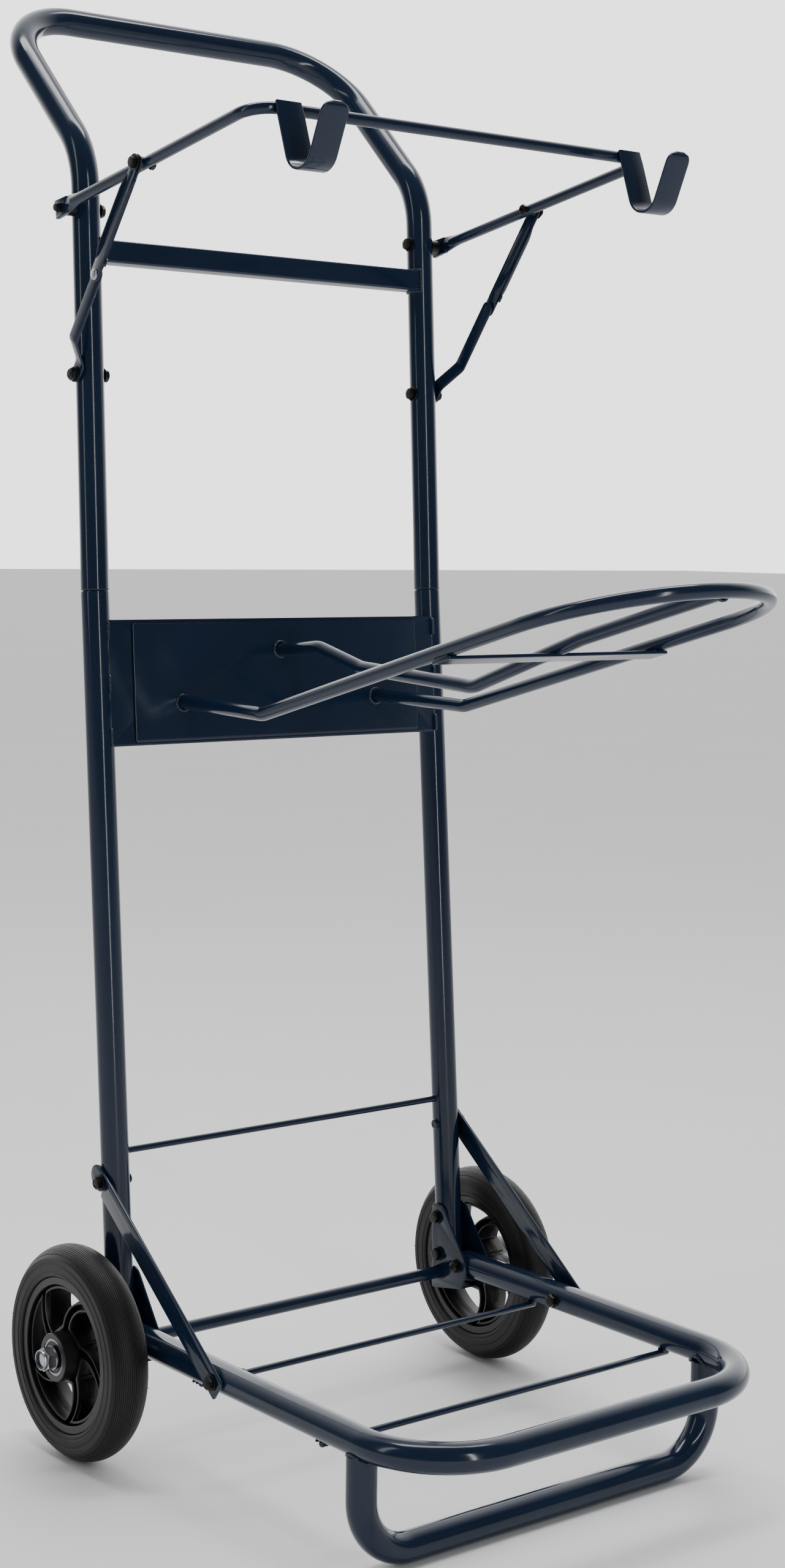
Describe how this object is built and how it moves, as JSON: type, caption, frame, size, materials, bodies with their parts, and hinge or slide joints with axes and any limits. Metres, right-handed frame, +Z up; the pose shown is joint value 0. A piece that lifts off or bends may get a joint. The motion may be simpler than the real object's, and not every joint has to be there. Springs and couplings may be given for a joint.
{
  "type": "folding saddle cart",
  "caption": "Two-wheeled folding tube cart for a saddle, with a lift-off saddle rack, a fold-down bridle bar with hooks and a fold-up base.",
  "frame": {"origin": "on the floor, in the middle of the cart's footprint in X and Y", "axes": "+X to the cart's right, -Y towards the saddle rack and base, +Z up"},
  "size_m": [0.5398, 0.7838, 1.3013],
  "materials": {
    "paint": "gloss",
    "bolt_black": "satin",
    "zinc": "satin",
    "bearing": "satin",
    "tyre": "matte",
    "hub": "matte"
  },
  "bodies": {
    "frame": {"upright_left": "paint", "upright_right": "paint", "lower_rod": "paint", "back_plate": "paint", "upper_frame": "paint", "cross_bar": "paint", "bracket_left": "paint", "bracket_right": "paint", "bracket_bolts_left": "bolt_black", "bracket_bolts_right": "bolt_black", "hinge_bolts": "bolt_black", "bridle_bolts": "bolt_black", "stay_foot_bolts": "bolt_black", "bridle_spacers": "bolt_black", "link_studs": "bolt_black", "axle": "zinc", "axle_nuts": "zinc"},
    "wheel_left": {"tyre_left": "tyre", "hub_left": "hub", "bearings_left": "bearing"},
    "wheel_right": {"tyre_right": "tyre", "hub_right": "hub", "bearings_right": "bearing"},
    "base": {"base_tube": "paint", "base_tips": "paint", "rod_rear": "paint", "rod_front": "paint", "stand": "paint", "link_bolts": "bolt_black"},
    "link_left": {"link_left": "paint"},
    "link_right": {"link_right": "paint"},
    "bridle": {"bridle_bar": "paint", "stay_top_bolts": "bolt_black", "hook_left": "paint", "hook_right": "paint"},
    "stay_upper_left": {"upper_stay_left": "paint", "rivet_left": "zinc"},
    "stay_upper_right": {"upper_stay_right": "paint", "rivet_right": "zinc"},
    "stay_lower_left": {"lower_stay_left": "paint"},
    "stay_lower_right": {"lower_stay_right": "paint"},
    "rack": {"rack_plate": "paint", "rack_loop": "paint", "rack_bar": "paint", "rack_strip": "paint"}
  },
  "joints": [
    {"name": "wheel_left_spin", "type": "hinge", "parent": "frame", "child": "wheel_left", "pos_m": [-0.2312, 0.15627, 0.094], "axis": [1, 0, 0], "continuous": true},
    {"name": "wheel_right_spin", "type": "hinge", "parent": "frame", "child": "wheel_right", "pos_m": [0.2312, 0.15627, 0.094], "axis": [1, 0, 0], "continuous": true},
    {"name": "base_fold", "type": "hinge", "parent": "frame", "child": "base", "pos_m": [0, 0.12727, 0.1065], "axis": [-1, 0, 0], "range_deg": [0, 90]},
    {"name": "link_left_fold", "type": "hinge", "parent": "base", "child": "link_left", "pos_m": [-0.20275, -0.01023, 0.1065], "axis": [1, 0, 0], "range_deg": [0, 143.2]},
    {"name": "link_right_fold", "type": "hinge", "parent": "base", "child": "link_right", "pos_m": [0.20275, -0.01023, 0.1065], "axis": [1, 0, 0], "range_deg": [0, 143.2]},
    {"name": "bridle_fold", "type": "hinge", "parent": "frame", "child": "bridle", "pos_m": [0, 0.22588, 1.0935], "axis": [1, 0, 0], "range_deg": [0, 80]},
    {"name": "stay_upper_left_fold", "type": "hinge", "parent": "bridle", "child": "stay_upper_left", "pos_m": [-0.2205, 0.09216, 1.11828], "axis": [-1, 0, 0], "range_deg": [0, 118.5]},
    {"name": "stay_upper_right_fold", "type": "hinge", "parent": "bridle", "child": "stay_upper_right", "pos_m": [0.2205, 0.09216, 1.11828], "axis": [-1, 0, 0], "range_deg": [0, 118.5]},
    {"name": "stay_lower_left_fold", "type": "hinge", "parent": "frame", "child": "stay_lower_left", "pos_m": [-0.2025, 0.21752, 0.9485], "axis": [1, 0, 0], "range_deg": [0, 118.5]},
    {"name": "stay_lower_right_fold", "type": "hinge", "parent": "frame", "child": "stay_lower_right", "pos_m": [0.2025, 0.21752, 0.9485], "axis": [1, 0, 0], "range_deg": [0, 118.5]},
    {"name": "rack_lift", "type": "slide", "parent": "frame", "child": "rack", "axis": [0, 0.0785, 0.9969], "range_m": [0, 0.013]}
  ],
  "couplings": [
    {"joint": "link_left_fold", "follows": "base_fold", "ratio": 1.59},
    {"joint": "link_right_fold", "follows": "base_fold", "ratio": 1.59},
    {"joint": "stay_upper_left_fold", "follows": "bridle_fold", "ratio": 1.48},
    {"joint": "stay_upper_right_fold", "follows": "bridle_fold", "ratio": 1.48},
    {"joint": "stay_lower_left_fold", "follows": "bridle_fold", "ratio": 1.48},
    {"joint": "stay_lower_right_fold", "follows": "bridle_fold", "ratio": 1.48}
  ]
}
